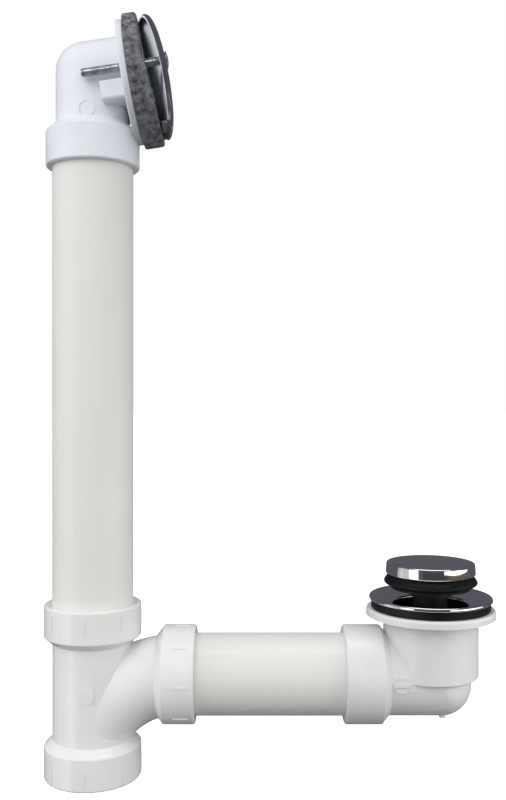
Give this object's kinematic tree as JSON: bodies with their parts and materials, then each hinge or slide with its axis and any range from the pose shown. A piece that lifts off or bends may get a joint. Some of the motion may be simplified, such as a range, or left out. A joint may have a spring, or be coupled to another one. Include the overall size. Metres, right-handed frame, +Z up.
{
  "type": "bath waste and overflow",
  "caption": "White plastic bath waste: riser with a tilted overflow head and domed plate, swept tee, cross tube and drain shoe with a chromed strainer and push stopper.",
  "frame": {"origin": "centre of the tee's outlet mouth", "axes": "+Z up the riser, +X towards the drain shoe, so the overflow faces +X"},
  "size_m": [0.2717, 0.0788, 0.4565],
  "materials": {
    "fitting_pvc": "moulded white PVC",
    "tee_pvc": "moulded white PVC",
    "pipe_pvc": "extruded white PVC",
    "foam_rubber": "closed-cell foam, mottled",
    "black_rubber": "moulded rubber",
    "chrome": "polished chrome plate",
    "zinc_steel": "zinc-plated steel",
    "brass": "turned brass",
    "acetal": "moulded black acetal",
    "spring_steel": "stainless spring wire"
  },
  "bodies": {
    "plumbing": {"overflow_elbow": "fitting_pvc", "overflow_gasket": "foam_rubber", "overflow_faceplate": "chrome", "faceplate_screws": "zinc_steel", "overflow_tube": "pipe_pvc", "waste_tee": "tee_pvc", "waste_tube": "pipe_pvc", "waste_shoe": "fitting_pvc", "shoe_gasket": "black_rubber", "drain_strainer": "chrome", "stopper_post": "brass", "latch_spring": "spring_steel"},
    "stopper": {"stopper_cap": "chrome", "stopper_seal": "black_rubber", "seal_retainer": "brass", "stopper_barrel": "acetal", "latch_rotor": "acetal"}
  },
  "joints": [
    {"name": "stopper_slide", "type": "slide", "parent": "plumbing", "child": "stopper", "axis": [0, 0, 1], "range_m": [-0.007, 0], "stiffness_N_per_m": 400, "springref_m": 0.01, "deforming": ["latch_spring"]}
  ]
}
